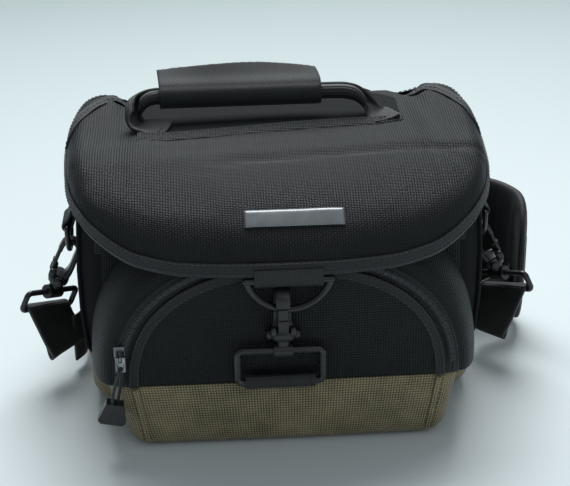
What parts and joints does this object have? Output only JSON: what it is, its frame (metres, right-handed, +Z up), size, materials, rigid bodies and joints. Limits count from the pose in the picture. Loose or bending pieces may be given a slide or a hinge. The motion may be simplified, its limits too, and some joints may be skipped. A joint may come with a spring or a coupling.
{
  "type": "camera shoulder bag",
  "caption": "Padded camera shoulder bag with a hooded hinged lid, ring and snap hook latch, zipped arch pocket, padded dividers, carry handle and clip-on shoulder strap with pad.",
  "frame": {"origin": "centre of the main body's base, on the floor", "axes": "+X to the viewer's right when facing the pocket, -Y towards the front pocket, +Z up"},
  "size_m": [0.3616, 0.2184, 0.22],
  "materials": {
    "base_cloth": "coarse woven nylon, olive tan",
    "black_weave": "black ballistic nylon weave",
    "lining": "brushed loop lining",
    "board": "stiff fibre board",
    "webbing": "ribbed black webbing",
    "zip": "nylon coil zip tape",
    "black_metal": "black coated wire",
    "slider_metal": "worn dark nickel",
    "badge": "plain satin plate, no marking",
    "cord": "braided cord",
    "pad": "smooth padded cloth",
    "plastic": "moulded black plastic"
  },
  "bodies": {
    "root": {"base_band": "base_cloth", "body_shell": "black_weave", "base_board": "board", "body_lining": "lining", "hinge_strip": "webbing", "pocket_base": "base_cloth", "pocket_gusset": "black_weave", "gusset_zip_tape": "zip", "side_chape_left": "webbing", "side_chape_right": "webbing"},
    "divider_left": {"divider_left": "lining"},
    "divider_right": {"divider_right": "lining"},
    "pocket": {"pocket_panel": "black_weave", "panel_binding": "webbing", "panel_zip_tape": "zip", "latch_tab": "webbing"},
    "loop": {"latch_loop": "black_metal", "latch_swivel": "plastic"},
    "hook": {"latch_hook": "plastic"},
    "gate": {"latch_gate": "plastic"},
    "slider": {"zip_slider": "slider_metal"},
    "pull": {"zip_pull": "slider_metal"},
    "cord": {"pull_cord": "cord", "cord_end": "plastic"},
    "lid": {"lid_shell": "black_weave", "lid_binding": "webbing", "lid_lining": "lining", "lid_badge": "badge", "lid_ring_tab": "webbing", "handle_anchors": "webbing"},
    "ring": {"latch_ring": "black_metal"},
    "handle": {"handle_webbing": "webbing", "handle_grip": "black_weave"},
    "wrap": {"handle_wrap": "black_weave"},
    "ring_left": {"side_ring_left": "black_metal"},
    "ring_right": {"side_ring_right": "black_metal"},
    "strap": {"strap_swivel_left": "plastic", "strap_swivel_right": "plastic", "strap_loop_left": "black_metal", "strap_loop_right": "black_metal", "strap_webbing_left": "webbing", "strap_webbing_right": "webbing", "shoulder_pad": "pad"},
    "strap_hook_left": {"strap_hook_left": "plastic"},
    "strap_hook_right": {"strap_hook_right": "plastic"},
    "strap_gate_left": {"strap_gate_left": "plastic"},
    "strap_gate_right": {"strap_gate_right": "plastic"},
    "adjuster": {"strap_adjuster": "plastic"}
  },
  "joints": [
    {"name": "lid_open", "type": "hinge", "parent": "root", "child": "lid", "pos_m": [0, 0.065, 0.18], "axis": [-1, 0, 0], "range_deg": [0, 105]},
    {"name": "lid_ring_hang", "type": "hinge", "parent": "lid", "child": "ring", "pos_m": [0.001, -0.121, 0.1226], "axis": [-1, 0, 0], "range_deg": [-110, 0]},
    {"name": "pocket_open", "type": "hinge", "parent": "root", "child": "pocket", "pos_m": [0, -0.113, 0.0462], "axis": [1, 0, 0], "range_deg": [0, 45]},
    {"name": "latch_loop_fold", "type": "hinge", "parent": "pocket", "child": "loop", "pos_m": [-0.005, -0.121, 0.0504], "axis": [1, 0, 0], "range_deg": [0, 80]},
    {"name": "latch_hook_swivel", "type": "hinge", "parent": "loop", "child": "hook", "pos_m": [-0.003, -0.121, 0.08], "axis": [0, 0, 1], "range_deg": [-4, 4]},
    {"name": "latch_gate_press", "type": "hinge", "parent": "hook", "child": "gate", "pos_m": [-0.003, -0.1264, 0.09], "axis": [-1, 0, 0], "range_deg": [0, 7]},
    {"name": "zip_slide", "type": "hinge", "parent": "pocket", "child": "slider", "pos_m": [-0.034, -0.1142, 0.0535], "axis": [0, 1, 0], "range_deg": [0, 28]},
    {"name": "pull_hang", "type": "hinge", "parent": "slider", "child": "pull", "pos_m": [-0.1062, -0.1194, 0.071], "axis": [-1, 0, 0], "range_deg": [0, 45]},
    {"name": "cord_hang", "type": "hinge", "parent": "pull", "child": "cord", "pos_m": [-0.1062, -0.1194, 0.0638], "axis": [0, 1, 0], "range_deg": [-35, 0]},
    {"name": "handle_tip", "type": "hinge", "parent": "lid", "child": "handle", "pos_m": [-0.022, 0.014, 0.184], "axis": [1, 0, 0], "range_deg": [-30, 30]},
    {"name": "wrap_peel", "type": "hinge", "parent": "handle", "child": "wrap", "pos_m": [-0.022, 0.0224, 0.194], "axis": [-1, 0, 0], "range_deg": [0, 60]},
    {"name": "side_ring_left_swing", "type": "hinge", "parent": "root", "child": "ring_left", "pos_m": [-0.143, -0.008, 0.118], "axis": [0, 1, 0], "range_deg": [0, 3]},
    {"name": "side_ring_right_swing", "type": "hinge", "parent": "root", "child": "ring_right", "pos_m": [0.143, -0.008, 0.118], "axis": [0, -1, 0], "range_deg": [0, 3]},
    {"name": "strap_lift", "type": "hinge", "parent": "root", "child": "strap", "pos_m": [0, -0.008, 0.11326], "axis": [1, 0, 0], "range_deg": [0, 28]},
    {"name": "strap_hook_left_swivel", "type": "hinge", "parent": "strap", "child": "strap_hook_left", "pos_m": [-0.15537, -0.008, 0.07023], "axis": [-0.4067, 0, -0.9135], "range_deg": [-6, 6]},
    {"name": "strap_gate_left_press", "type": "hinge", "parent": "strap_hook_left", "child": "strap_gate_left", "pos_m": [-0.15623, -0.008, 0.08156], "axis": [0, 1, 0], "range_deg": [0, 20]},
    {"name": "strap_hook_right_swivel", "type": "hinge", "parent": "strap", "child": "strap_hook_right", "pos_m": [0.15537, -0.008, 0.07023], "axis": [0.4067, 0, -0.9135], "range_deg": [-6, 6]},
    {"name": "strap_gate_right_press", "type": "hinge", "parent": "strap_hook_right", "child": "strap_gate_right", "pos_m": [0.15623, -0.008, 0.08156], "axis": [0, -1, 0], "range_deg": [0, 20]},
    {"name": "adjuster_slide", "type": "slide", "parent": "strap", "child": "adjuster", "axis": [1, 0, 0], "range_m": [-0.012, 0.012]},
    {"name": "divider_left_slide", "type": "slide", "parent": "root", "child": "divider_left", "axis": [1, 0, 0], "range_m": [-0.015, 0.015]},
    {"name": "divider_right_slide", "type": "slide", "parent": "root", "child": "divider_right", "axis": [1, 0, 0], "range_m": [-0.015, 0.015]}
  ],
  "couplings": [
    {"joint": "lid_ring_hang", "follows": "lid_open", "ratio": -1},
    {"joint": "pocket_open", "follows": "lid_open", "ratio": 0.4},
    {"joint": "pull_hang", "follows": "lid_open", "ratio": 0.4},
    {"joint": "latch_loop_fold", "follows": "lid_open", "ratio": 0.72},
    {"joint": "cord_hang", "follows": "zip_slide", "ratio": -1}
  ]
}
